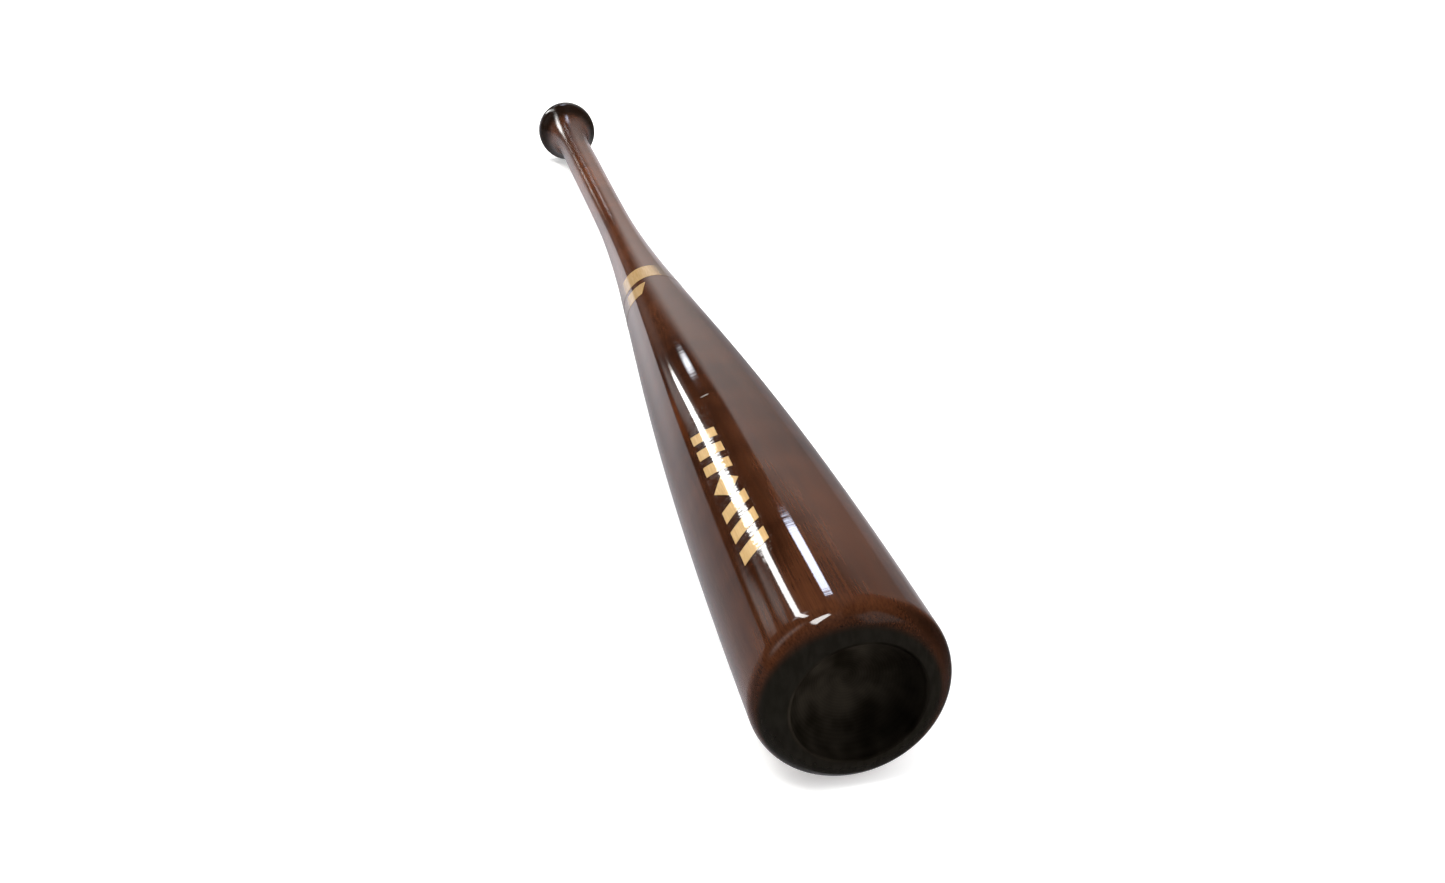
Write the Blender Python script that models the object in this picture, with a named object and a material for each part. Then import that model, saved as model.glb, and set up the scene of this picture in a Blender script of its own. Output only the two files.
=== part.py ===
"""Turned wooden baseball bat with a flared knob, a cupped barrel end and gold foil marks.

The bat lies along +X. Its knob's flat end face is at x = 0, its axis is the X axis and +Z is up.
Angles round the bat are measured from +Z towards +Y.
"""

import math

import bmesh
import bpy
from mathutils import Matrix, Vector
from mathutils.geometry import interpolate_bezier

# Billet
BAT_LENGTH = 0.864
BARREL_RADIUS = 0.0325
THROAT_START_RADIUS = 0.0115
GRIP_RADIUS = 0.0124
KNOB_RADIUS = 0.0256
KNOB_FACE_RADIUS = 0.0220
KNOB_RIM_START = 0.0070
KNOB_RIM_END = 0.0110
GRIP_START = 0.100
THROAT_START = 0.320
BARREL_START = 0.845
SHOULDER_LENGTH = 0.0100
SHOULDER_DROP = 0.0092
CUP_RADIUS = 0.0213
CUP_DEPTH = 0.0140

# Lengths of the outline curves' handles, along the bat
FLARE_HANDLES = (0.0152, 0.0866)
GRIP_HANDLES = (0.070, 0.090)
THROAT_HANDLES = (0.1734, 0.2345)

# Foil, as it lies on the lacquer
FOIL_GAP = 0.0003
FOIL_THICKNESS = 0.0003

# Bands round the throat
RING_START = 0.483
RING_WIDTH = 0.022
STRIPE_START = 0.513
STRIPE_WIDTH = 0.0158
STRIPE_FIRST_ANGLE = -22.0
STRIPE_END_TURN = -13.0
STRIPE_SWEEP = -112.0
STRIPE_END_SLANT = -0.004

# Mark along the barrel: slanted bars on both sides of a diamond
MARK_START = 0.718
MARK_LENGTH = 0.098
MARK_ANGLE = -37.0
MARK_SWEEP = 20.0
MARK_BARS_PER_SIDE = 3
BAR_WIDTH = 0.0078
BAR_SLANT = 0.0046
DIAMOND_LENGTH = 0.0160

# Facets: flats of the billet touch the true round, one flat faces straight down
SIDES = 48
FACET_ANGLE = 2 * math.pi / SIDES
FLAT_FACTOR = 1 / math.cos(FACET_ANGLE / 2)
SHARP_ANGLE = math.radians(35)

# Turns a piece that is modelled along +Z to lie along +X
ALONG_X = Matrix.Rotation(math.pi / 2, 4, "Y")


def clear_scene():
    for obj in list(bpy.data.objects):
        bpy.data.objects.remove(obj, do_unlink=True)


def principled(name, colour, roughness, metallic, coat=0.0):
    material = bpy.data.materials.new(name)
    material.use_nodes = True
    shader = material.node_tree.nodes["Principled BSDF"]
    shader.inputs["Base Color"].default_value = (*colour, 1.0)
    shader.inputs["Roughness"].default_value = roughness
    shader.inputs["Metallic"].default_value = metallic
    shader.inputs["Coat Weight"].default_value = coat
    return material


def curve_between(start, end, handles, points):
    """Points (radius, x) on a Bezier whose handles both lie along the bat."""
    ends = [Vector((radius, x, 0)) for x, radius in (start, end)]
    start_handle = ends[0] + Vector((0, handles[0], 0))
    end_handle = ends[1] - Vector((0, handles[1], 0))
    curve = interpolate_bezier(ends[0], start_handle, end_handle, ends[1], points)
    return [(point.x, point.y) for point in curve]


def quarter_round(centre, across, along, points):
    """Points (radius, x) on a quarter ellipse, from its widest point to its furthest one along the bat."""
    angles = [math.pi / 2 * index / (points - 1) for index in range(points)]
    return [(centre[0] + across * math.cos(a), centre[1] + along * math.sin(a)) for a in angles]


def knob_outline():
    rim_height = KNOB_RADIUS - KNOB_FACE_RADIUS
    rim = quarter_round((KNOB_FACE_RADIUS, KNOB_RIM_START), rim_height, -KNOB_RIM_START, 6)
    flare = curve_between((KNOB_RIM_END, KNOB_RADIUS), (GRIP_START, GRIP_RADIUS), FLARE_HANDLES, 12)
    return [(0.0, 0.0)] + rim[::-1] + flare


def shaft_outline():
    """The grip and the swelling from throat to barrel."""
    grip = curve_between(
        (GRIP_START, GRIP_RADIUS), (THROAT_START, THROAT_START_RADIUS), GRIP_HANDLES, 5
    )
    swell = curve_between(
        (THROAT_START, THROAT_START_RADIUS), (BARREL_START, BARREL_RADIUS), THROAT_HANDLES, 17
    )
    return grip[1:] + swell[1:]


def barrel_end_outline():
    """The rounded shoulder, the flat rim and the hollow cup."""
    shoulder_centre = (BARREL_RADIUS - SHOULDER_DROP, BAT_LENGTH - SHOULDER_LENGTH)
    shoulder = quarter_round(shoulder_centre, SHOULDER_DROP, SHOULDER_LENGTH, 7)
    cup = quarter_round((0.0, BAT_LENGTH), CUP_RADIUS, -CUP_DEPTH, 9)
    cup[-1] = (0.0, BAT_LENGTH - CUP_DEPTH)
    return shoulder + cup


def bat_outline():
    return knob_outline() + shaft_outline() + barrel_end_outline()


OUTLINE = bat_outline()


def surface_radius(x):
    """Radius of the shaft or the barrel at x, read between the outline's points."""
    for (radius_a, x_a), (radius_b, x_b) in zip(OUTLINE, OUTLINE[1:]):
        if x_a <= x <= x_b and x_b > x_a:
            return radius_a + (radius_b - radius_a) * (x - x_a) / (x_b - x_a)
    raise ValueError(f"no outline at x = {x}")


def foil_point(x, angle):
    """Point of the foil's underside at x and at an angle in degrees."""
    radius = surface_radius(x) * FLAT_FACTOR + FOIL_GAP
    turn = math.radians(angle)
    return Vector((x, radius * math.sin(turn), radius * math.cos(turn)))


def new_object(name, mesh, material, parent):
    mesh.materials.append(material)
    obj = bpy.data.objects.new(name, mesh)
    bpy.context.scene.collection.objects.link(obj)
    obj.parent = parent
    return obj


def mesh_of(name, shape):
    mesh = bpy.data.meshes.new(name)
    shape.to_mesh(mesh)
    shape.free()
    return mesh


def evaluated_copy(obj):
    """Puts the mesh that the object's modifiers give in place of its own."""
    graph = bpy.context.evaluated_depsgraph_get()
    mesh = bpy.data.meshes.new_from_object(obj.evaluated_get(graph))
    obj.modifiers.clear()
    obj.data = mesh


def shade_round(obj):
    obj.data.shade_smooth()
    obj.data.set_sharp_from_angle(angle=SHARP_ANGLE)


def turned(name, outline, material, parent, closed=False):
    """Solid of revolution about X. The outline's points are (radius, x), its radii those of the true round."""
    shape = bmesh.new()
    points = [shape.verts.new((radius * FLAT_FACTOR, 0, x)) for radius, x in outline[::-1]]
    for start, end in zip(points, points[1:]):
        shape.edges.new((start, end))
    if closed:
        shape.edges.new((points[-1], points[0]))
    bmesh.ops.rotate(shape, verts=points, matrix=Matrix.Rotation(FACET_ANGLE / 2, 3, "Z"))
    obj = new_object(name, mesh_of(name, shape), material, parent)
    screw = obj.modifiers.new("Turn", "SCREW")
    screw.axis = "Z"
    screw.steps = SIDES
    screw.render_steps = SIDES
    screw.use_merge_vertices = True
    screw.merge_threshold = 0.00001
    evaluated_copy(obj)
    obj.data.transform(ALONG_X)
    shade_round(obj)
    return obj


def foil_patch(name, corner, edge_a, edge_b, cells, material, parent):
    """Thin four-sided foil on the billet. corner and both edges are (length along x, angle in degrees)."""
    shape = bmesh.new()
    rows = []
    for i in range(cells[0] + 1):
        row = []
        for j in range(cells[1] + 1):
            x = corner[0] + edge_a[0] * i / cells[0] + edge_b[0] * j / cells[1]
            angle = corner[1] + edge_a[1] * i / cells[0] + edge_b[1] * j / cells[1]
            row.append(shape.verts.new(foil_point(x, angle)))
        rows.append(row)
    for low, high in zip(rows, rows[1:]):
        for j in range(cells[1]):
            shape.faces.new((low[j], high[j], high[j + 1], low[j + 1]))
    outward = foil_point(corner[0], corner[1]) * Vector((0, 1, 1))
    shape.normal_update()
    if sum((face.normal.dot(outward) for face in shape.faces)) < 0:
        bmesh.ops.reverse_faces(shape, faces=shape.faces[:])
    obj = new_object(name, mesh_of(name, shape), material, parent)
    solidify = obj.modifiers.new("Foil thickness", "SOLIDIFY")
    solidify.thickness = FOIL_THICKNESS
    solidify.offset = 1.0
    evaluated_copy(obj)
    shade_round(obj)
    return obj


def build_throat_ring(foil, parent):
    """Foil band all the way round the throat."""
    steps = 3
    stations = [RING_START + RING_WIDTH * index / steps for index in range(steps + 1)]
    inner = [(surface_radius(x) + FOIL_GAP, x) for x in stations]
    outer = [(radius + FOIL_THICKNESS, x) for radius, x in inner]
    turned("throat_foil_ring", inner[::-1] + outer, foil, parent, closed=True)


def build_throat_stripe(foil, parent):
    """Foil band beside the ring that goes part of the way round, with slanted ends."""
    foil_patch(
        "throat_foil_stripe",
        (STRIPE_START, STRIPE_FIRST_ANGLE),
        (STRIPE_WIDTH, STRIPE_END_TURN),
        (STRIPE_END_SLANT, STRIPE_SWEEP),
        (2, 16),
        foil,
        parent,
    )


def build_barrel_mark(foil, parent):
    """Row of slanted bars, mirrored about a diamond in its middle."""
    low_angle = MARK_ANGLE - MARK_SWEEP / 2
    middle = MARK_START + MARK_LENGTH / 2
    side_length = (MARK_LENGTH - DIAMOND_LENGTH) / 2
    pitch = side_length / MARK_BARS_PER_SIDE
    for side in (-1, 1):
        for index in range(MARK_BARS_PER_SIDE):
            outer_edge = middle + side * (DIAMOND_LENGTH / 2 + pitch * (index + 1))
            number = MARK_BARS_PER_SIDE - index if side < 0 else MARK_BARS_PER_SIDE + index + 1
            foil_patch(
                f"barrel_foil_bar_{number}",
                (outer_edge, low_angle),
                (-side * BAR_WIDTH, 0.0),
                (-side * BAR_SLANT, MARK_SWEEP),
                (2, 4),
                foil,
                parent,
            )
    half_length = DIAMOND_LENGTH / 2
    foil_patch(
        "barrel_foil_diamond",
        (middle - half_length, MARK_ANGLE),
        (half_length, MARK_SWEEP / 2),
        (half_length, -MARK_SWEEP / 2),
        (4, 4),
        foil,
        parent,
    )


def main():
    clear_scene()
    bat = bpy.data.objects.new("bat", None)
    bpy.context.scene.collection.objects.link(bat)
    lacquered_wood = principled("Stained lacquered wood", (0.085, 0.030, 0.013), 0.32, 0.0, coat=1.0)
    gold_foil = principled("Gold foil", (0.78, 0.52, 0.22), 0.38, 0.35)
    turned("bat_body", OUTLINE, lacquered_wood, bat)
    build_throat_ring(gold_foil, bat)
    build_throat_stripe(gold_foil, bat)
    build_barrel_mark(gold_foil, bat)


main()
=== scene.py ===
import math

import bmesh
import bpy
import numpy as np
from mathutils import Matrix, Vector
from mathutils.geometry import interpolate_bezier


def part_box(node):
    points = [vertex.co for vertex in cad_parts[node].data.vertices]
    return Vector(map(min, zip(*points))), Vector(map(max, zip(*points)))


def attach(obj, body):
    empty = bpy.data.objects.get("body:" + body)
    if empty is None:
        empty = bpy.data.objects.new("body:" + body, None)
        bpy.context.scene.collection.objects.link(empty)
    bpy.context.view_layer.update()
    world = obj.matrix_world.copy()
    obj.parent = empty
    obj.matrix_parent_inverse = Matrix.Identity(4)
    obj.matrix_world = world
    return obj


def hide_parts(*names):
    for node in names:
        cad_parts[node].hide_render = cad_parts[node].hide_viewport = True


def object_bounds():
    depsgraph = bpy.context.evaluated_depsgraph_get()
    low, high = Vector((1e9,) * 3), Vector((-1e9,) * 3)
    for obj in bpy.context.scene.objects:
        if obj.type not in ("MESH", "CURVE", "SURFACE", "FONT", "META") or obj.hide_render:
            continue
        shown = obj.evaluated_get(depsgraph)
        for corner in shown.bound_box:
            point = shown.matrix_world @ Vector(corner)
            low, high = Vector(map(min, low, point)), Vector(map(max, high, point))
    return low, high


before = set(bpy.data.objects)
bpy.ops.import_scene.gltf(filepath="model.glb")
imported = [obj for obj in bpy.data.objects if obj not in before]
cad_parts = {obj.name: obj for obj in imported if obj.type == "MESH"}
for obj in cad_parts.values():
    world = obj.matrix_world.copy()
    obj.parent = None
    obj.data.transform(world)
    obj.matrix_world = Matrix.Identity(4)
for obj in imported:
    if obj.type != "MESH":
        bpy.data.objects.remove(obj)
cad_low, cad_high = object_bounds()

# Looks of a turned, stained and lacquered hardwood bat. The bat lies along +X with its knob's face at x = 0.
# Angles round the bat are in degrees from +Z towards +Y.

# Outline of the billet, as in the CAD source
BAT_LENGTH = cad_high.x - cad_low.x
BARREL_RADIUS = cad_high.z
THROAT_START_RADIUS = 0.0115
GRIP_RADIUS = 0.0124
KNOB_RADIUS = 0.0256
KNOB_FACE_RADIUS = 0.0220
KNOB_RIM_START = 0.0070
KNOB_RIM_END = 0.0110
GRIP_START = 0.100
THROAT_START = 0.320
BARREL_START = 0.845
SHOULDER_LENGTH = 0.0100
SHOULDER_DROP = 0.0092
CUP_RADIUS = 0.0213
CUP_DEPTH = 0.0140
LIP_ROUNDING = 0.0004
FLARE_HANDLES = (0.0152, 0.0866)
GRIP_HANDLES = (0.070, 0.090)
THROAT_HANDLES = (0.1734, 0.2345)
ROUND_SEGMENTS = 192

# Smooth shading breaks at edges sharper than this, in degrees
SHARP_ANGLE = 35.0

# Foil, printed on the stain under the last coats of lacquer
FOIL_LIFT = 0.00004
FOIL_THICKNESS = 0.00005
STRIPE_FIRST_ANGLE = -22.0
STRIPE_END_TURN = -13.0
STRIPE_SWEEP = -112.0
STRIPE_END_SLANT = -0.004
MARK_ANGLE = -37.0
MARK_SWEEP = 20.0
BAR_SLANT = 0.0046
BARS = 6

# Camera, without roll, beyond the barrel's end and above it
CAMERA_PLACE = Vector((1.129, -0.101, 0.225))
CAMERA_AIM = Vector((-0.876, 0.1955, -0.441))
CAMERA_LENS = 29.37
CAMERA_SENSOR = 36.0

# Growth rings: the tree's pith runs along the bat, outside it
PITH_Y = 0.055
PITH_Z = -0.030
RINGS_PER_METRE = 420.0

# Colours of the wood, the sanded ends and the foil, as linear red, green and blue
GRAIN_COLOURS = ((0.030, 0.0092, 0.0036), (0.092, 0.0310, 0.0130))
PORE_COLOUR = (0.010, 0.0035, 0.0015)
# Pale colour of a painted glint on a small nick
NICK_GLINT_COLOUR = (0.40, 0.38, 0.36)
KNOB_COLOUR = (0.0125, 0.0065, 0.0040)
RIM_COLOURS = ((0.0078, 0.0066, 0.0049), (0.0108, 0.0093, 0.0073))
CUP_COLOURS = ((0.0064, 0.0050, 0.0034), (0.0290, 0.0238, 0.0180))
FOIL_COLOURS = ((0.56, 0.36, 0.15), (0.66, 0.445, 0.205))
# Dark foil colour, for painted shade and for the throat's dimmer foil
FOIL_SHADE_COLOUR = (0.075, 0.028, 0.012)

# Factors on the stain's colour. The handle's factor is a painted sheen that makes its stain paler and greyer
HANDLE_SHEEN_TINT = (1.95, 1.88, 1.80)
MARK_FACE_TINT = (0.66, 0.60, 0.52)
# Painted shade on the shoulder
SHOULDER_SHADE_TINT = (0.30, 0.30, 0.29)

# Soft bands, as the range where each one fades in and the range where it fades out: along x, then in degrees
HANDLE_SHEEN_ALONG = ((0.08, 0.24), (0.36, 0.64))
MARK_FACE_ALONG = ((0.57, 0.64), (0.815, 0.845))
MARK_FACE_AROUND = ((-62.0, -46.0), (-24.0, -10.0))
MARK_LACQUER_ALONG = ((0.690, 0.735), (0.808, 0.820))
MARK_LACQUER_AROUND = ((-50.0, -44.0), (-29.0, -24.0))
NICK_GLINT_ALONG = ((0.6917, 0.6921), (0.6926, 0.6930))
NICK_GLINT_AROUND = ((-26.5, -25.0), (-20.0, -18.5))
THROAT_END = 0.60
FADE = 0.04

# Repeats per metre of the noise patterns, along x, y and z
DRIFT_REPEATS = (3.0, 12.0, 12.0)
FIBRE_REPEATS = (30.0, 1500.0, 1500.0)
PORE_REPEATS = (110.0, 3200.0, 3200.0)
BLOTCH_REPEATS = (14.0, 45.0, 45.0)
CURL_REPEATS = (70.0, 24.0, 24.0)
RIM_STREAK_REPEATS = (60.0, 500.0, 160.0)
FOIL_STREAK_REPEATS = (60.0, 1500.0, 1500.0)
FOIL_SPECK_REPEATS = (700.0, 1500.0, 1500.0)
TURNING_MARK_REPEATS = (520.0, 70.0, 70.0)
LACQUER_WAVE_REPEATS = (25.0, 60.0, 60.0)
LACQUER_PIT_REPEATS = (1000.0, 2600.0, 2600.0)
SCUFF_REPEATS = 4000.0
CUP_CLOUD_REPEATS = 75.0
LATHE_RING_TURN = 7000.0

# Clear lacquer
LACQUER_ROUGHNESS = 0.04
LACQUER_IOR = 1.5
LACQUER_ON_HANDLE = 0.58
LACQUER_ON_ENDS = 0.35
RELIEF = 0.0001

# Studio, as it shows in the lacquer. A patch is its swings, rises and edge softness, all in degrees, and
# its radiance.
FLOOR_SIZE = 12.0
FLOOR_GAP = 0.0002
FLOOR_GLOW = 0.5
BACKDROP_RADIUS = 10.5
NEAR_WALL = (0.08, 0.08, 0.08)
GREY_WALL = (1.0, 0.98, 0.97)
DARK_WALL = (0.030, 0.026, 0.025)
FLOOR_TINT = (0.98, 0.97, 1.02)
WALL_PATCHES = (
    ((11.0, 17.0), (1.0, 8.0), 3.0, (0.17, 0.15, 0.145)),
    ((18.2, 22.3), (3.5, 10.5), 1.3, (0.62, 0.60, 0.60)),
    ((34.0, 38.5), (4.5, 12.5), 1.5, (0.95, 0.90, 0.88)),
    ((29.5, 34.5), (16.0, 22.5), 1.8, (0.95, 0.90, 0.88)),
    ((21.0, 25.0), (0.0, 4.0), 1.0, (0.32, 0.09, 0.03)),
)
FAR_WINDOW = ((-158.0, -118.0), (24.0, 58.0), 6.0, (0.45, 0.45, 0.45))
GLOW = ((27.0, 37.0), (29.0, 41.0), 3.0, (2.6, 2.6, 2.7))
SIDE_WINDOW = ((70.0, 84.0), (14.0, 52.0), 9.0, (1.1, 1.1, 1.1))
HIGH_LAMP = ((84.0, 122.0), (60.0, 78.0), 1.5, (17.0, 17.0, 16.6))
BLUE_LAMP = ((-4.2, 2.8), (32.6, 38.4), 0.6, (13.0, 14.4, 18.0))
STRIP_LAMP_NORMAL = (-0.1944, 0.8806, 0.4321)
STRIP_LAMP = (16.0, 16.0, 15.7)
STRIP_LAMP_SWINGS = (4.0, 47.0)
STRIP_LOW_END = (25.2, 27.6)
STRIP_LEFT_RISES = (12.0, 16.5)
STRIP_LEFT_WIDTHS = (1.1, 3.2)
STRIP_RIGHT_RISES = (9.5, 15.0)
STRIP_RIGHT_WIDTHS = (0.5, 2.1)
STRIP_NARROWING_RISES = (21.0, 22.8)
STRIP_NARROWING = 1.5
STRIP_BULGE_RISES = (19.5, 25.2)
STRIP_BULGE = 1.2
HALO = (1.3, 1.3, 1.3)
HALO_SHARE = 0.3
SMALL_LAMP = (9.0, 9.4, 10.2)
SMALL_LAMP_SWINGS = (5.0, 9.0)
SMALL_LAMP_RISES = (18.9, 20.3)
SMALL_LAMP_TILT = 0.3
SUN_STRENGTH = 3.0
SUN_WIDTH = 100.0
SUN_AIM = Vector((0.10, -0.45, -1.0))


def curve_between(start, end, handles, points):
    """Points (x, radius) on a Bezier whose handles both lie along the bat."""
    ends = [Vector((x, radius, 0)) for x, radius in (start, end)]
    start_handle = ends[0] + Vector((handles[0], 0, 0))
    end_handle = ends[1] - Vector((handles[1], 0, 0))
    curve = interpolate_bezier(ends[0], start_handle, end_handle, ends[1], points)
    return [(point.x, point.y) for point in curve]


def quarter_round(centre, across, along, points):
    """Points (x, radius) on a quarter ellipse, from its widest point to its furthest one along the bat."""
    angles = [math.pi / 2 * index / (points - 1) for index in range(points)]
    return [(centre[0] + along * math.sin(a), centre[1] + across * math.cos(a)) for a in angles]


def knob_outline():
    face = [(0.0, KNOB_FACE_RADIUS * share) for share in (0.0, 0.25, 0.5, 0.75)]
    rim_height = KNOB_RADIUS - KNOB_FACE_RADIUS
    rim = quarter_round((KNOB_RIM_START, KNOB_FACE_RADIUS), rim_height, -KNOB_RIM_START, 18)
    flare = curve_between((KNOB_RIM_END, KNOB_RADIUS), (GRIP_START, GRIP_RADIUS), FLARE_HANDLES, 48)
    return face + rim[::-1] + flare


def shaft_outline():
    """The grip and the swelling from throat to barrel."""
    throat = (THROAT_START, THROAT_START_RADIUS)
    grip = curve_between((GRIP_START, GRIP_RADIUS), throat, GRIP_HANDLES, 24)
    swell = curve_between(throat, (BARREL_START, BARREL_RADIUS), THROAT_HANDLES, 96)
    return grip[1:] + swell[1:]


def barrel_end_outline():
    """The rounded shoulder, the flat rim, its softened lip and the cup."""
    shoulder_centre = (BAT_LENGTH - SHOULDER_LENGTH, BARREL_RADIUS - SHOULDER_DROP)
    shoulder = quarter_round(shoulder_centre, SHOULDER_DROP, SHOULDER_LENGTH, 28)
    lip_centre = (BAT_LENGTH - LIP_ROUNDING, CUP_RADIUS + LIP_ROUNDING)
    lip = quarter_round(lip_centre, -LIP_ROUNDING, LIP_ROUNDING, 5)
    cup = quarter_round((BAT_LENGTH, 0.0), CUP_RADIUS, -CUP_DEPTH, 40)
    inner_cup = [point for point in cup if point[0] < BAT_LENGTH - 2 * LIP_ROUNDING]
    return shoulder + lip[::-1] + inner_cup


# Fine outline from the middle of the knob's face, over the barrel, to the bottom of the cup
OUTLINE = knob_outline() + shaft_outline() + barrel_end_outline()
OUTSIDE = np.array(OUTLINE[: OUTLINE.index(max(OUTLINE)) + 1])


def surface_radius(x):
    """Radius of the bat's outside at x."""
    return float(np.interp(x, OUTSIDE[:, 0], OUTSIDE[:, 1]))


def new_piece(name, vertices, faces, material, slot, *nodes):
    mesh = bpy.data.meshes.new(name)
    mesh.from_pydata(vertices, [], faces)
    mesh.validate()
    mesh.materials.append(material)
    mesh.shade_smooth()
    mesh.set_sharp_from_angle(angle=math.radians(SHARP_ANGLE))
    obj = bpy.data.objects.new(name, mesh)
    bpy.context.scene.collection.objects.link(obj)
    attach(obj, "root")
    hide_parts(*nodes)


def turned_mesh(outline):
    """Vertices and quads of an outline turned about X. Points on the axis become one vertex each."""
    vertices = []
    rings = []
    for x, radius in outline:
        if radius < 1e-7:
            rings.append([len(vertices)])
            vertices.append((x, 0.0, 0.0))
            continue
        rings.append(list(range(len(vertices), len(vertices) + ROUND_SEGMENTS)))
        for step in range(ROUND_SEGMENTS):
            turn = 2 * math.pi * step / ROUND_SEGMENTS
            vertices.append((x, radius * math.sin(turn), radius * math.cos(turn)))
    faces = []
    for low, high in zip(rings, rings[1:]):
        for step in range(ROUND_SEGMENTS):
            after = (step + 1) % ROUND_SEGMENTS
            corners = [low[step % len(low)], low[after % len(low)]]
            corners += [high[after % len(high)], high[step % len(high)]]
            faces.append(tuple(dict.fromkeys(corners)))
    return vertices, faces


def build_billet(material):
    vertices, faces = turned_mesh(OUTLINE)
    new_piece("lacquered_billet", vertices, faces, material, "lacquered_wood", "bat_body")


class Shader:
    """Short calls that add nodes to a node tree and link them."""

    def __init__(self, tree):
        self.tree = tree

    def node(self, kind, **settings):
        node = self.tree.nodes.new(kind)
        for name, value in settings.items():
            setattr(node, name, value)
        return node

    def plug(self, value, socket):
        if isinstance(value, bpy.types.NodeSocket):
            self.tree.links.new(value, socket)
        else:
            socket.default_value = value

    def math(self, operation, *values):
        node = self.node("ShaderNodeMath", operation=operation)
        for value, socket in zip(values, node.inputs):
            self.plug(value, socket)
        return node.outputs[0]

    def step(self, value, low, high):
        """Smooth rise from 0 at low to 1 at high. With low above high it falls."""
        node = self.node("ShaderNodeMapRange", interpolation_type="SMOOTHSTEP")
        falls = isinstance(low, float) and isinstance(high, float) and low > high
        self.plug(value, node.inputs["Value"])
        self.plug(high if falls else low, node.inputs["From Min"])
        self.plug(low if falls else high, node.inputs["From Max"])
        return self.math("SUBTRACT", 1.0, node.outputs["Result"]) if falls else node.outputs["Result"]

    def band(self, value, fade_in, fade_out):
        """Smooth rise from 0 to 1 over the first range and fall back to 0 over the second."""
        return self.times(self.step(value, *fade_in), self.step(value, fade_out[1], fade_out[0]))

    def ramp(self, value, low, high, start, end):
        """Straight change from start at low to end at high."""
        node = self.node("ShaderNodeMapRange")
        for name, number in (("From Min", low), ("From Max", high), ("To Min", start), ("To Max", end)):
            node.inputs[name].default_value = number
        self.plug(value, node.inputs["Value"])
        return node.outputs["Result"]

    def scaled(self, vector, factors):
        """A colour or a vector, each part of it times its own factor."""
        node = self.node("ShaderNodeVectorMath", operation="MULTIPLY")
        self.plug(vector, node.inputs[0])
        node.inputs[1].default_value = factors
        return node.outputs[0]

    def times(self, *values):
        product = values[0]
        for value in values[1:]:
            product = self.math("MULTIPLY", product, value)
        return product

    def mix(self, share, first, second):
        node = self.node("ShaderNodeMix", data_type="RGBA")
        self.plug(share, node.inputs[0])
        self.plug(first, node.inputs[6])
        self.plug(second, node.inputs[7])
        return node.outputs[2]

    def mix_value(self, share, first, second):
        node = self.node("ShaderNodeMix", data_type="FLOAT")
        self.plug(share, node.inputs[0])
        self.plug(first, node.inputs[2])
        self.plug(second, node.inputs[3])
        return node.outputs[0]

    def noise(self, vector, scale, detail=2.0, roughness=0.5):
        node = self.node("ShaderNodeTexNoise")
        self.plug(vector, node.inputs["Vector"])
        node.inputs["Scale"].default_value = scale
        node.inputs["Detail"].default_value = detail
        node.inputs["Roughness"].default_value = roughness
        return node.outputs["Fac"]

    def split(self, vector):
        node = self.node("ShaderNodeSeparateXYZ")
        self.plug(vector, node.inputs[0])
        return tuple(node.outputs)

    def grain(self, place, repeats, detail=2.0, roughness=0.5):
        """Noise with its own number of repeats per metre along each axis."""
        return self.noise(self.scaled(place, repeats), 1.0, detail, roughness)

    def between(self, share, colours):
        return self.mix(share, rgba(colours[0]), rgba(colours[1]))

    def bump(self, height, strength, distance):
        node = self.node("ShaderNodeBump")
        node.inputs["Strength"].default_value = strength
        node.inputs["Distance"].default_value = distance
        self.plug(height, node.inputs["Height"])
        return node.outputs["Normal"]


def rgba(colour):
    return (*colour, 1.0)


def around_bat(shader, y, z):
    """Angle round the bat in degrees, from +Z towards +Y."""
    return shader.times(shader.math("ARCTAN2", y, z), 180 / math.pi)


def lacquer_by_mark(shader, x, angle):
    """1 on the upper side of the barrel, round the mark."""
    along = shader.band(x, *MARK_LACQUER_ALONG)
    return shader.times(along, shader.band(angle, *MARK_LACQUER_AROUND))


def lacquer_normal(shader, place):
    """Lacquer that shows the turning marks, most of all by the mark, and is scuffed on the handle."""
    x, y, z = shader.split(place)
    by_mark = lacquer_by_mark(shader, x, around_bat(shader, y, z))
    turning = shader.grain(place, TURNING_MARK_REPEATS, 2.0, 0.6)
    turning = shader.times(turning, shader.ramp(by_mark, 0.0, 1.0, 0.28, 2.8))
    waves = shader.grain(place, LACQUER_WAVE_REPEATS, 1.0)
    waves = shader.times(waves, shader.ramp(x, 0.10, 0.50, 0.35, 1.0))
    pits = shader.step(shader.grain(place, LACQUER_PIT_REPEATS, 1.0), 0.64, 0.70)
    scuffs = shader.times(shader.noise(place, SCUFF_REPEATS, 1.0), shader.ramp(x, 0.03, 0.50, 0.8, 0.0))
    height = shader.math("ADD", turning, waves)
    height = shader.math("SUBTRACT", height, shader.times(pits, by_mark, 0.8))
    height = shader.math("ADD", height, scuffs)
    return shader.bump(height, 0.5, RELIEF)


def set_lacquer(shader, surface, place, weight):
    shader.plug(weight, surface.inputs["Coat Weight"])
    surface.inputs["Coat Roughness"].default_value = LACQUER_ROUGHNESS
    surface.inputs["Coat IOR"].default_value = LACQUER_IOR
    surface.inputs["Specular IOR Level"].default_value = 0.0
    shader.plug(lacquer_normal(shader, place), surface.inputs["Coat Normal"])


def axis_distance(shader, y, z):
    return shader.math("SQRT", shader.math("ADD", shader.times(y, y), shader.times(z, z)))


def cup_mask(shader, x, radius):
    inside_x = shader.step(x, BAT_LENGTH - CUP_DEPTH - 0.002, BAT_LENGTH - CUP_DEPTH - 0.001)
    return shader.times(inside_x, shader.step(radius, CUP_RADIUS + 0.0012, CUP_RADIUS + 0.0006))


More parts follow.
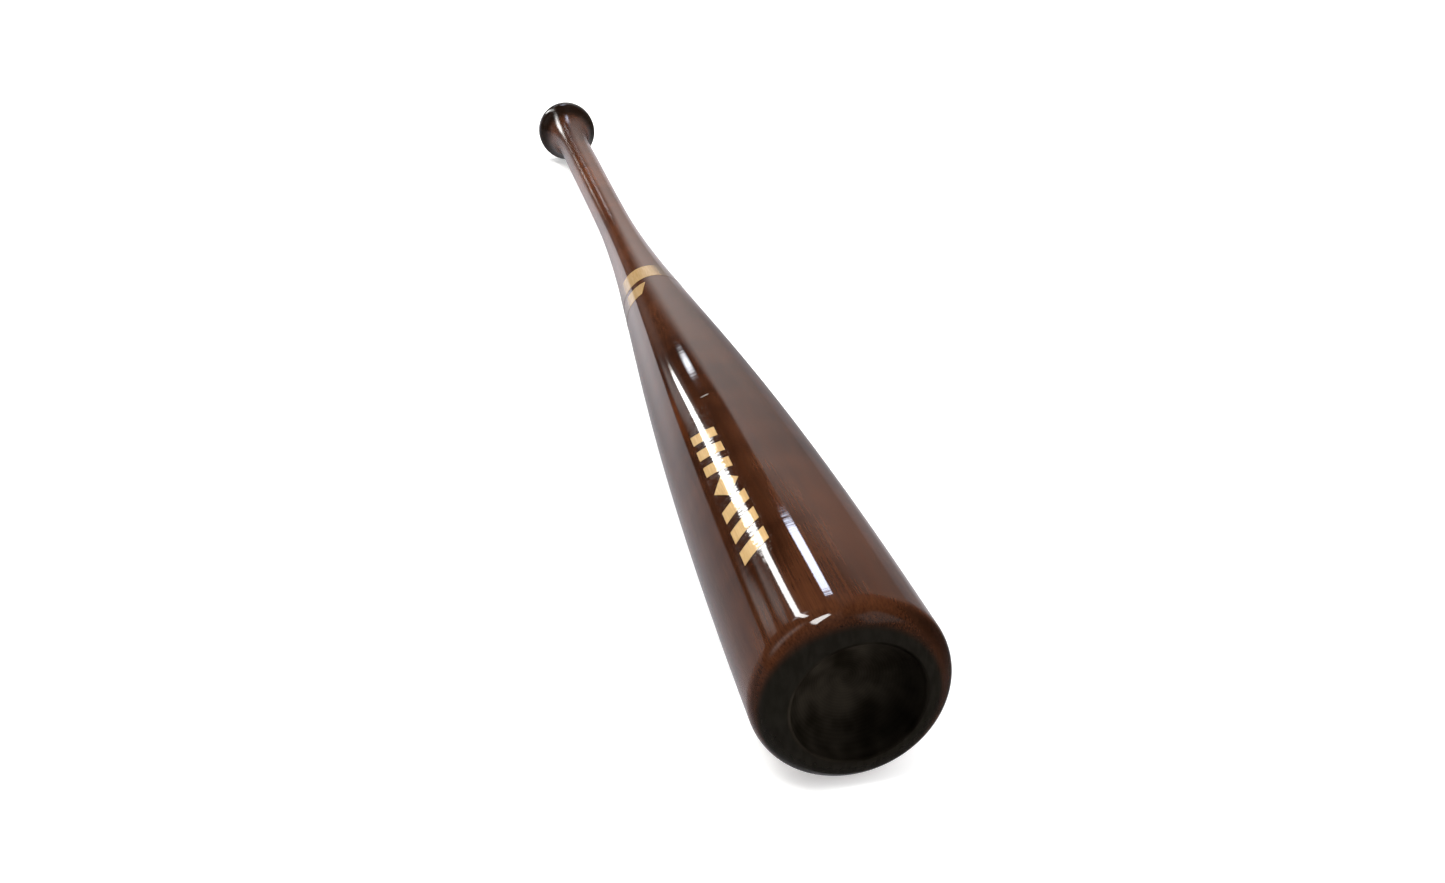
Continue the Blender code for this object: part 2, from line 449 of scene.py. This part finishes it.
def barrel_end_mask(shader, facing, x, in_cup):
    """1 on the cup, the rim and the end of the shoulder, where end grain takes more stain."""
    aside = shader.math("ADD", shader.times(facing[1], 0.30), shader.times(facing[2], 0.15))
    on_end = shader.step(shader.math("SUBTRACT", facing[0], aside), 0.68, 0.91)
    near_end = shader.step(x, BARREL_START, BARREL_START + 0.002)
    return shader.math("MAXIMUM", shader.times(on_end, near_end), in_cup)


def shoulder_painted_shade(shader, facing, x):
    """How much painted shade darkens the shoulder: towards the end, where the end grain's darker stain also
    begins, and most of all on its two sides.
    """
    towards_end = shader.times(shader.step(facing[0], 0.35, 0.88), 0.75)
    far_side = shader.times(shader.step(facing[0], 0.12, 0.48), shader.step(facing[1], 0.10, 0.60))
    near_side = shader.times(shader.step(facing[0], 0.10, 0.42), shader.step(facing[1], -0.68, -0.92))
    both_sides = shader.math("MAXIMUM", far_side, shader.times(near_side, 0.8))
    on_shoulder = shader.step(x, BARREL_START, BARREL_START + 0.002)
    return shader.times(shader.math("MAXIMUM", towards_end, both_sides), on_shoulder)


def knob_mask(shader, facing, x):
    """1 on the knob's rim, face and flare, where end grain takes more stain."""
    sloping = shader.step(shader.math("ABSOLUTE", facing[0]), 0.16, 0.42)
    rim = shader.step(x, 0.026, 0.019)
    return shader.times(shader.math("MAXIMUM", sloping, rim), shader.step(x, 0.075, 0.045))


def late_wood(shader, place, y, z):
    """1 in the dark part of each growth ring. The rings are slightly bent along the bat."""
    drift = shader.grain(place, DRIFT_REPEATS)
    from_pith = axis_distance(shader, shader.math("SUBTRACT", y, PITH_Y), shader.math("SUBTRACT", z, PITH_Z))
    bent = shader.math("ADD", from_pith, shader.times(drift, 0.012))
    ring = shader.math("FRACT", shader.times(bent, RINGS_PER_METRE))
    return shader.band(ring, (0.2, 0.85), (0.92, 1.0))


def long_grain(shader, place, fibre, y, z):
    """Colour of the stained long grain, with growth rings, fibres, pores and slow changes of tone."""
    pores = shader.grain(place, PORE_REPEATS, 1.0)
    blotch = shader.grain(place, BLOTCH_REPEATS, 3.0)
    curl = shader.grain(place, CURL_REPEATS)
    tone = shader.math("ADD", shader.times(fibre, 0.42), shader.times(blotch, 0.32))
    tone = shader.math("ADD", tone, shader.times(curl, 0.26))
    tone = shader.math("SUBTRACT", tone, shader.times(late_wood(shader, place, y, z), 0.02))
    base = shader.between(shader.step(tone, 0.30, 0.70), GRAIN_COLOURS)
    return shader.mix(shader.times(shader.step(pores, 0.62, 0.74), 0.4), base, rgba(PORE_COLOUR))


def stained_wood(shader, place, fibre, x, y, z):
    """Long grain with a painted sheen that makes the handle paler, the darker face round the mark and the
    nick beside it, whose pale colour is a painted glint.
    """
    base = long_grain(shader, place, fibre, y, z)
    # Painted sheen: the handle's stain is made paler and greyer
    base = shader.mix(shader.band(x, *HANDLE_SHEEN_ALONG), base, shader.scaled(base, HANDLE_SHEEN_TINT))
    angle = around_bat(shader, y, z)
    mark_face = shader.times(shader.band(angle, *MARK_FACE_AROUND), shader.band(x, *MARK_FACE_ALONG))
    base = shader.mix(mark_face, base, shader.scaled(base, MARK_FACE_TINT))
    # Painted glint: a pale dash on a small nick beside the mark
    nick_glint = shader.times(shader.band(x, *NICK_GLINT_ALONG), shader.band(angle, *NICK_GLINT_AROUND), 0.8)
    return shader.mix(nick_glint, base, rgba(NICK_GLINT_COLOUR))


def end_grain(shader, place, in_cup, y, radius):
    """Colour of the sanded ends: nearly black, cloudy in the cup, with faint lathe rings and painted shade
    that darkens the cup towards its wall.
    """
    streaks = shader.grain(place, RIM_STREAK_REPEATS)
    rim = shader.between(shader.step(streaks, 0.3, 0.7), RIM_COLOURS)
    lathe_rings = shader.times(shader.math("SINE", shader.times(radius, LATHE_RING_TURN)), 0.02)
    clouds = shader.math("ADD", shader.noise(place, CUP_CLOUD_REPEATS), lathe_rings)
    cup = shader.between(shader.step(clouds, 0.28, 0.74), CUP_COLOURS)
    # Painted shade in the cup: darker towards its wall, most of all on the +Y side
    off_middle = shader.math("ADD", radius, shader.times(y, 0.40))
    cup_wall_shade = shader.ramp(off_middle, 0.010, CUP_RADIUS * 1.2, 0.0, 0.75)
    cup = shader.mix(cup_wall_shade, cup, rgba((0.0, 0.0, 0.0)))
    return shader.mix(in_cup, rim, cup)


def wood_material():
    material = bpy.data.materials.new("Stained lacquered wood")
    material.use_nodes = True
    shader = Shader(material.node_tree)
    surface = material.node_tree.nodes["Principled BSDF"]
    place = shader.node("ShaderNodeTexCoord").outputs["Object"]
    x, y, z = shader.split(place)
    facing = shader.split(shader.node("ShaderNodeNewGeometry").outputs["Normal"])
    fibre = shader.grain(place, FIBRE_REPEATS, 3.0, 0.6)
    radius = axis_distance(shader, y, z)
    in_cup = cup_mask(shader, x, radius)
    end = barrel_end_mask(shader, facing, x, in_cup)

    base = stained_wood(shader, place, fibre, x, y, z)
    # Painted shade on the shoulder, darkest on its two sides
    base = shader.mix(shoulder_painted_shade(shader, facing, x), base, shader.scaled(base, SHOULDER_SHADE_TINT))
    base = shader.mix(end, base, end_grain(shader, place, in_cup, y, radius))
    base = shader.mix(knob_mask(shader, facing, x), base, rgba(KNOB_COLOUR))
    shader.plug(base, surface.inputs["Base Color"])
    shader.plug(shader.math("ADD", 0.38, shader.times(fibre, 0.2)), surface.inputs["Roughness"])
    shader.plug(shader.bump(fibre, 0.3, RELIEF), surface.inputs["Normal"])

    on_ends = shader.ramp(end, 0.0, 1.0, 1.0, LACQUER_ON_ENDS)
    coat = shader.times(on_ends, shader.ramp(x, 0.12, 0.46, LACQUER_ON_HANDLE, 1.0))
    set_lacquer(shader, surface, place, shader.mix_value(in_cup, coat, 0.0))
    return material


def foil_painted_shade(shader, x, y, z):
    """1 where painted shade darkens the throat's foil, towards both sides of the bat; 0 on the mark."""
    angle = around_bat(shader, y, z)
    shaded_sides = shader.math("ADD", shader.step(angle, -20.0, 32.0), shader.step(angle, -50.0, -78.0))
    return shader.times(shaded_sides, shader.step(x, THROAT_END, THROAT_END - FADE))


def foil_material():
    material = bpy.data.materials.new("Pale gold foil")
    material.use_nodes = True
    shader = Shader(material.node_tree)
    surface = material.node_tree.nodes["Principled BSDF"]
    place = shader.node("ShaderNodeTexCoord").outputs["Object"]
    x, y, z = shader.split(place)
    streaks = shader.grain(place, FOIL_STREAK_REPEATS, 2.0, 0.6)
    base = shader.between(shader.step(streaks, 0.35, 0.7), FOIL_COLOURS)
    on_throat = shader.step(x, THROAT_END, THROAT_END - FADE)
    # The throat's foil is a little dimmer all round
    dulled = shader.mix(shader.times(on_throat, 0.22), base, rgba(FOIL_SHADE_COLOUR))
    # Painted shade: the throat's foil darkens towards both sides of the bat, its edge broken up by specks
    specks = shader.grain(place, FOIL_SPECK_REPEATS, 2.0, 0.6)
    foil_shade = shader.times(foil_painted_shade(shader, x, y, z), 1.3)
    foil_shade = shader.step(shader.math("SUBTRACT", foil_shade, shader.times(specks, 0.3)), 0.0, 1.0)
    base = shader.mix(shader.times(foil_shade, 0.9), dulled, rgba(FOIL_SHADE_COLOUR))
    shader.plug(base, surface.inputs["Base Color"])
    surface.inputs["Metallic"].default_value = 0.1
    surface.inputs["Roughness"].default_value = 0.5
    set_lacquer(shader, surface, place, 1.0)
    return material


def sheet_faces(across, around, turns_out):
    """Quads of a closed sheet of two layers of points, the lower layer first."""
    layer = (across + 1) * (around + 1)

    def at(top, i, j):
        return top * layer + i * (around + 1) + j

    faces = []
    for i in range(across):
        for j in range(around):
            faces.append((at(1, i, j), at(1, i, j + 1), at(1, i + 1, j + 1), at(1, i + 1, j)))
            faces.append((at(0, i, j), at(0, i + 1, j), at(0, i + 1, j + 1), at(0, i, j + 1)))
    border = [(i, 0) for i in range(across)] + [(across, j) for j in range(around)]
    border += [(i, around) for i in range(across, 0, -1)] + [(0, j) for j in range(around, 0, -1)]
    for here, there in zip(border, border[1:] + border[:1]):
        faces.append((at(0, *here), at(1, *here), at(1, *there), at(0, *there)))
    return [face[::-1] for face in faces] if turns_out else faces


def foil_patch(name, corner, edge_a, edge_b, cells, material):
    """Thin closed patch on the billet. corner and both edges are (length along x, angle in degrees)."""
    across, around = cells
    vertices = []
    for lift in (FOIL_LIFT, FOIL_LIFT + FOIL_THICKNESS):
        for i in range(across + 1):
            for j in range(around + 1):
                x = corner[0] + edge_a[0] * i / across + edge_b[0] * j / around
                turn = math.radians(corner[1] + edge_a[1] * i / across + edge_b[1] * j / around)
                radius = surface_radius(x) + lift
                vertices.append((x, radius * math.sin(turn), radius * math.cos(turn)))
    turns_out = (edge_a[0] * edge_b[1] - edge_a[1] * edge_b[0]) < 0
    faces = sheet_faces(across, around, turns_out)
    new_piece(name + "_gilt", vertices, faces, material, "gold_foil", name)


def build_ring(material):
    low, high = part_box("throat_foil_ring")
    stations = np.linspace(low.x, high.x, 12)
    under = [(x, surface_radius(x) + FOIL_LIFT) for x in stations]
    over = [(x, radius + FOIL_THICKNESS) for x, radius in under]
    vertices, faces = turned_mesh(over + under[::-1] + over[:1])
    new_piece("throat_foil_ring_gilt", vertices, faces, material, "gold_foil", "throat_foil_ring")


def build_stripe(material):
    low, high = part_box("throat_foil_stripe")
    width = high.x - low.x + STRIPE_END_SLANT
    foil_patch(
        "throat_foil_stripe",
        (high.x - width, STRIPE_FIRST_ANGLE),
        (width, STRIPE_END_TURN),
        (STRIPE_END_SLANT, STRIPE_SWEEP),
        (8, 60),
        material,
    )


def build_mark(material):
    """Row of slanted bars, mirrored about a diamond in its middle."""
    low_angle = MARK_ANGLE - MARK_SWEEP / 2
    for number in range(1, BARS + 1):
        low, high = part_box(f"barrel_foil_bar_{number}")
        width = high.x - low.x - BAR_SLANT
        forward = number <= BARS // 2
        side = 1 if forward else -1
        foil_patch(
            f"barrel_foil_bar_{number}",
            (low.x if forward else high.x, low_angle),
            (side * width, 0.0),
            (side * BAR_SLANT, MARK_SWEEP),
            (8, 12),
            material,
        )
    low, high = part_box("barrel_foil_diamond")
    half = (high.x - low.x) / 2
    foil_patch(
        "barrel_foil_diamond",
        (low.x, MARK_ANGLE),
        (half, MARK_SWEEP / 2),
        (half, -MARK_SWEEP / 2),
        (12, 12),
        material,
    )


def glowing_material(name, level, glow):
    """Matt grey that gives off white light of its own."""
    material = bpy.data.materials.new(name)
    material.use_nodes = True
    surface = material.node_tree.nodes["Principled BSDF"]
    surface.inputs["Base Color"].default_value = (level, level, level, 1.0)
    surface.inputs["Roughness"].default_value = 0.9
    surface.inputs["Specular IOR Level"].default_value = 0.0
    surface.inputs["Emission Color"].default_value = (1.0, 1.0, 1.0, 1.0)
    surface.inputs["Emission Strength"].default_value = glow
    return material


def build_floor():
    """Plane that touches the barrel and the knob, so the bat rests on both."""
    slope = math.atan2(BARREL_RADIUS - KNOB_RADIUS, BARREL_START - KNOB_RIM_START)
    size = FLOOR_SIZE
    mesh = bpy.data.meshes.new("floor")
    corners = [(-size, -size, 0), (size, -size, 0), (size, size, 0), (-size, size, 0)]
    mesh.from_pydata(corners, [], [(0, 1, 2, 3)])
    mesh.materials.append(glowing_material("Pale floor", 0.9, FLOOR_GLOW))
    floor = bpy.data.objects.new("floor", mesh)
    bpy.context.scene.collection.objects.link(floor)
    floor.location = (BARREL_START, 0.0, -BARREL_RADIUS - FLOOR_GAP)
    floor.rotation_euler = (0.0, slope, 0.0)
    floor.visible_glossy = False


def build_backdrop():
    """Pale dome round the studio. Only the camera sees it; the lacquer shows the studio's walls and lamps."""
    shape = bmesh.new()
    bmesh.ops.create_icosphere(shape, subdivisions=4, radius=BACKDROP_RADIUS)
    mesh = bpy.data.meshes.new("backdrop")
    shape.to_mesh(mesh)
    shape.free()
    mesh.materials.append(glowing_material("Pale backdrop", 0.0, 1.0))
    dome = bpy.data.objects.new("backdrop", mesh)
    bpy.context.scene.collection.objects.link(dome)
    dome.visible_diffuse = False
    dome.visible_glossy = False
    dome.visible_transmission = False
    dome.visible_shadow = False


class Sky:
    """Directions of the studio: swing from -X towards -Y and rise above the horizon, in degrees."""

    def __init__(self, shader):
        self.shader = shader
        self.direction = shader.node("ShaderNodeTexCoord").outputs["Generated"]
        self.x, y, z = shader.split(self.direction)
        back = shader.times(self.x, -1.0)
        left = shader.times(y, -1.0)
        to_degrees = 180 / math.pi
        self.rise = shader.times(shader.math("ARCSINE", z), to_degrees)
        self.swing = shader.times(shader.math("ARCTAN2", left, back), to_degrees)

    def window(self, value, low, high, soft):
        return self.shader.band(value, (low - soft, low + soft), (high - soft, high + soft))

    def with_patch(self, light, patch):
        """The light with a soft-edged rectangle of another radiance in it."""
        swings, rises, soft, radiance = patch
        across = self.window(self.swing, *swings, soft)
        inside = self.shader.times(across, self.window(self.rise, *rises, soft))
        return self.shader.mix(inside, light, rgba(radiance))

    def strip(self, extra, soft):
        """Lamp along a great circle, widest in its middle. extra widens it on both sides, in degrees."""
        shader = self.shader
        dot = shader.node("ShaderNodeVectorMath", operation="DOT_PRODUCT")
        shader.plug(self.direction, dot.inputs[0])
        dot.inputs[1].default_value = STRIP_LAMP_NORMAL
        off_centre = shader.times(dot.outputs["Value"], 180 / math.pi)
        left_widths = [width + extra for width in STRIP_LEFT_WIDTHS]
        narrowing = shader.times(shader.step(self.rise, *STRIP_NARROWING_RISES), STRIP_NARROWING)
        left_width = shader.ramp(self.rise, *STRIP_LEFT_RISES, *left_widths)
        left_width = shader.math("SUBTRACT", left_width, narrowing)
        right_widths = [width + extra for width in STRIP_RIGHT_WIDTHS]
        bulge = shader.times(self.window(self.rise, *STRIP_BULGE_RISES, 1.0), STRIP_BULGE)
        right_width = shader.ramp(self.rise, *STRIP_RIGHT_RISES, *right_widths)
        right_width = shader.math("ADD", right_width, bulge)
        left = shader.step(shader.math("ADD", left_width, off_centre), -soft, soft)
        right = shader.step(shader.math("SUBTRACT", right_width, off_centre), -soft, soft)
        low_end = shader.step(shader.math("ADD", self.rise, self.swing), *STRIP_LOW_END)
        return shader.times(left, right, low_end, self.window(self.swing, *STRIP_LAMP_SWINGS, 3.0))

    def small_lamp(self):
        """1 on the lamp beyond the knob, a rectangle leaning to one side."""
        tilted = self.shader.math("ADD", self.rise, self.shader.times(self.swing, SMALL_LAMP_TILT))
        across = self.window(self.swing, *SMALL_LAMP_SWINGS, 1.3)
        return self.shader.times(across, self.window(tilted, *SMALL_LAMP_RISES, 0.7))


def studio_walls(shader, sky, wall_end):
    """A grey wall on the right, and beyond the knob a dark wall with a soft right edge and pale patches."""
    swing, rise = sky.swing, sky.rise
    grey = shader.times(shader.ramp(swing, -6.0, -34.0, 0.76, 0.25), shader.ramp(rise, 0.0, 12.0, 0.68, 1.0))
    grey = shader.times(grey, shader.ramp(rise, 26.0, 34.0, 1.0, 0.22), wall_end)
    light = shader.mix(grey, rgba((0.0, 0.0, 0.0)), rgba(GREY_WALL))
    edge = shader.ramp(rise, 12.0, 23.0, 9.0, -1.5)
    dark = shader.times(shader.step(swing, -4.5, edge), shader.step(swing, 150.0, 110.0))
    light = shader.mix(dark, light, rgba(DARK_WALL))
    for patch in WALL_PATCHES:
        light = sky.with_patch(light, patch)
    return light


def studio_floor(shader, sky, wall_end):
    """Radiance below the horizon, brighter towards the knob and dimmer to the left."""
    swing, rise = sky.swing, sky.rise
    near = shader.times(shader.step(swing, 32.0, 14.0), shader.step(rise, -22.0, -6.0))
    level = shader.math("ADD", 0.5, shader.times(near, 0.65))
    level = shader.times(level, shader.ramp(swing, 22.0, 70.0, 1.0, 0.30))
    right_level = shader.times(shader.ramp(rise, -16.0, -32.0, 0.30, 0.85), wall_end)
    level = shader.mix(shader.step(swing, -12.0, -20.0), level, right_level)
    return shader.scaled(level, FLOOR_TINT)


def studio_surroundings(shader, sky):
    wall_end = shader.math("MAXIMUM", shader.step(sky.swing, -60.0, -42.0), 0.12)
    walls = studio_walls(shader, sky, wall_end)
    floor = studio_floor(shader, sky, wall_end)
    return shader.mix(shader.step(sky.rise, 0.6, -0.6), walls, floor)


def build_world():
    world = bpy.data.worlds.new("Studio")
    bpy.context.scene.world = world
    world.use_nodes = True
    tree = world.node_tree
    tree.nodes.clear()
    shader = Shader(tree)
    sky = Sky(shader)
    light = studio_surroundings(shader, sky)
    light = shader.mix(shader.step(sky.x, 0.15, 0.6), light, rgba(NEAR_WALL))
    light = sky.with_patch(light, FAR_WINDOW)
    light = shader.mix(shader.times(sky.strip(1.6, 1.5), HALO_SHARE), light, rgba(HALO))
    light = sky.with_patch(light, GLOW)
    light = sky.with_patch(light, SIDE_WINDOW)
    light = shader.mix(sky.strip(0.0, 0.35), light, rgba(STRIP_LAMP))
    light = sky.with_patch(light, HIGH_LAMP)
    light = shader.mix(sky.small_lamp(), light, rgba(SMALL_LAMP))
    light = sky.with_patch(light, BLUE_LAMP)
    background = shader.node("ShaderNodeBackground")
    shader.plug(light, background.inputs["Color"])
    output = shader.node("ShaderNodeOutputWorld")
    shader.plug(background.outputs[0], output.inputs["Surface"])


def build_lights():
    """Wide soft light from above. The lacquer doesn't show it; it shows the studio's walls and lamps."""
    data = bpy.data.lights.new("overhead", "SUN")
    data.angle = math.radians(SUN_WIDTH)
    data.energy = SUN_STRENGTH
    light = bpy.data.objects.new("overhead", data)
    bpy.context.scene.collection.objects.link(light)
    light.rotation_euler = SUN_AIM.to_track_quat("-Z", "Y").to_euler()
    light.visible_glossy = False
    light.visible_camera = False


def build_camera():
    data = bpy.data.cameras.new("camera")
    data.lens = CAMERA_LENS
    data.sensor_width = CAMERA_SENSOR
    data.clip_start = 0.01
    camera = bpy.data.objects.new("camera", data)
    bpy.context.scene.collection.objects.link(camera)
    camera.location = CAMERA_PLACE
    camera.rotation_euler = CAMERA_AIM.to_track_quat("-Z", "Y").to_euler()
    bpy.context.scene.camera = camera


bpy.context.scene.view_settings.view_transform = "Standard"
build_camera()
build_world()
build_lights()
build_floor()
build_backdrop()
build_billet(wood_material())
foil = foil_material()
build_ring(foil)
build_stripe(foil)
build_mark(foil)
